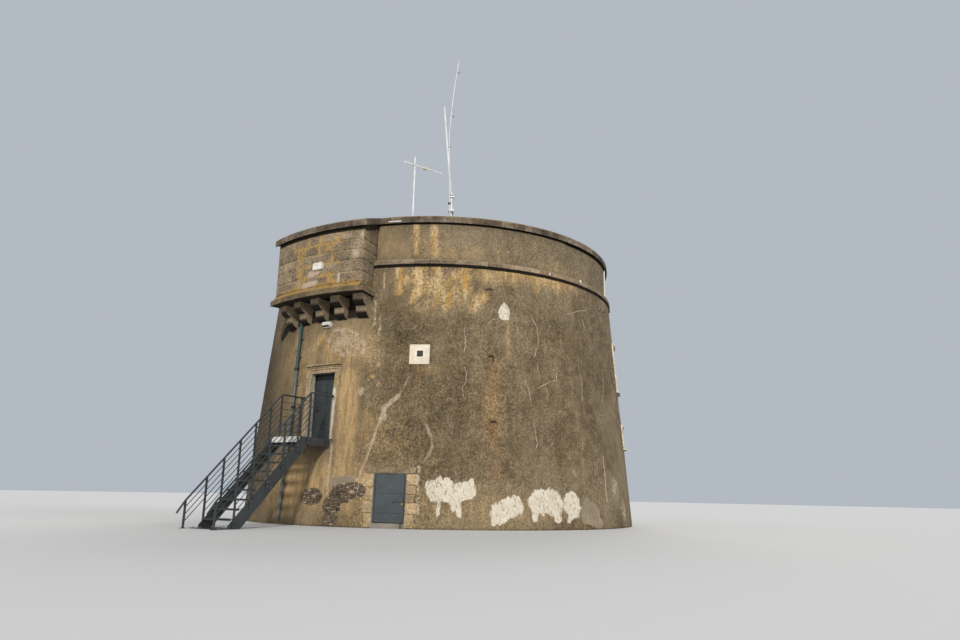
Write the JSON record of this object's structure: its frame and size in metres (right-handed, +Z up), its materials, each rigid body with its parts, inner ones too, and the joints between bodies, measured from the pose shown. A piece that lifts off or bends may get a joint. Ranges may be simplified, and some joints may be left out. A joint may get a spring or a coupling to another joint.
{
  "type": "martello tower",
  "caption": "Round battered stone gun tower with a parapet, a corbelled bartizan over a raised entrance, an outside steel stair, hinged steel doors and roof aerials.",
  "frame": {"origin": "on the tower's axis at ground level, on the underside of the ground floor", "axes": "+Z up, the entrance and the stair face -Y"},
  "size_m": [12.2199, 15.6678, 16.7486],
  "materials": {
    "rendered_wall": "weathered cement render, mottled brown grey",
    "rendered_parapet": "weathered render with lichen streaks",
    "coping_stone": "dark weathered granite",
    "string_stone": "dark weathered granite",
    "ashlar": "squared granite courses with ochre lichen",
    "corbel_stone": "dressed granite, damp stained",
    "sole_stone": "dressed granite with lichen",
    "platform_stone": "worn granite paving",
    "floor_stone": "stone flags",
    "dressed_stone": "moulded sandstone coloured surround",
    "tan_stone": "tan dressed stone",
    "cream_stone": "cream painted stone",
    "slate_paint": "slate grey paint, satin",
    "stair_paint": "dark grey paint, satin",
    "white_board": "white painted board",
    "pipe_paint": "grey and teal pipe, matt",
    "cream_panel": "cream enamel",
    "white_housing": "white housing, matt",
    "mast_metal": "dull aluminium tube",
    "white_fibreglass": "white fibreglass"
  },
  "bodies": {
    "tower": {"aerial_mast": "mast_metal", "bartizan_cheeks": "ashlar", "bartizan_coping": "coping_stone", "bartizan_corbels": "corbel_stone", "bartizan_front": "ashlar", "bartizan_sole": "sole_stone", "downpipe": "pipe_paint", "entrance_bay_above": "rendered_wall", "entrance_bay_below": "rendered_wall", "entrance_bay_left": "rendered_wall", "entrance_bay_right": "rendered_wall", "entrance_frame": "slate_paint", "entrance_surround": "dressed_stone", "firing_step": "platform_stone", "first_floor": "floor_stone", "ground_bay_above": "rendered_wall", "ground_bay_left": "rendered_wall", "ground_bay_right": "rendered_wall", "ground_door_frame": "slate_paint", "ground_door_surround": "tan_stone", "ground_floor": "floor_stone", "guard_left": "stair_paint", "guard_right": "stair_paint", "gun_pivot": "platform_stone", "landing_fascia": "white_board", "parapet_1": "rendered_parapet", "parapet_2": "rendered_parapet", "parapet_3": "rendered_parapet", "parapet_4": "rendered_parapet", "parapet_coping": "coping_stone", "roof_vault": "platform_stone", "sign_panel": "cream_panel", "stair_landing": "stair_paint", "stair_stringers": "stair_paint", "stair_treads": "stair_paint", "string_course": "string_stone", "wall_lights": "white_housing", "wall_segment_1": "rendered_wall", "wall_segment_2": "rendered_wall", "wall_segment_3": "rendered_wall", "wall_segment_4": "rendered_wall", "wall_segment_5": "rendered_wall", "wall_segment_6": "rendered_wall", "whip_aerials": "white_fibreglass", "window_bay_above": "rendered_wall", "window_bay_below": "rendered_wall", "window_bay_left": "rendered_wall", "window_bay_right": "rendered_wall", "window_shutter": "slate_paint", "window_surrounds": "cream_stone", "yagi_aerial": "mast_metal"},
    "entrance_door": {"entrance_door": "slate_paint"},
    "ground_door": {"ground_door": "slate_paint"}
  },
  "joints": [
    {"name": "entrance_door_hinge", "type": "hinge", "parent": "tower", "child": "entrance_door", "pos_m": [0.38, -5.58378, 3.06], "axis": [0, 0, -1], "range_deg": [0, 90]},
    {"name": "ground_door_hinge", "type": "hinge", "parent": "tower", "child": "ground_door", "pos_m": [1.89828, -5.68494, 0.72], "axis": [0, 0, -1], "range_deg": [0, 90]}
  ]
}
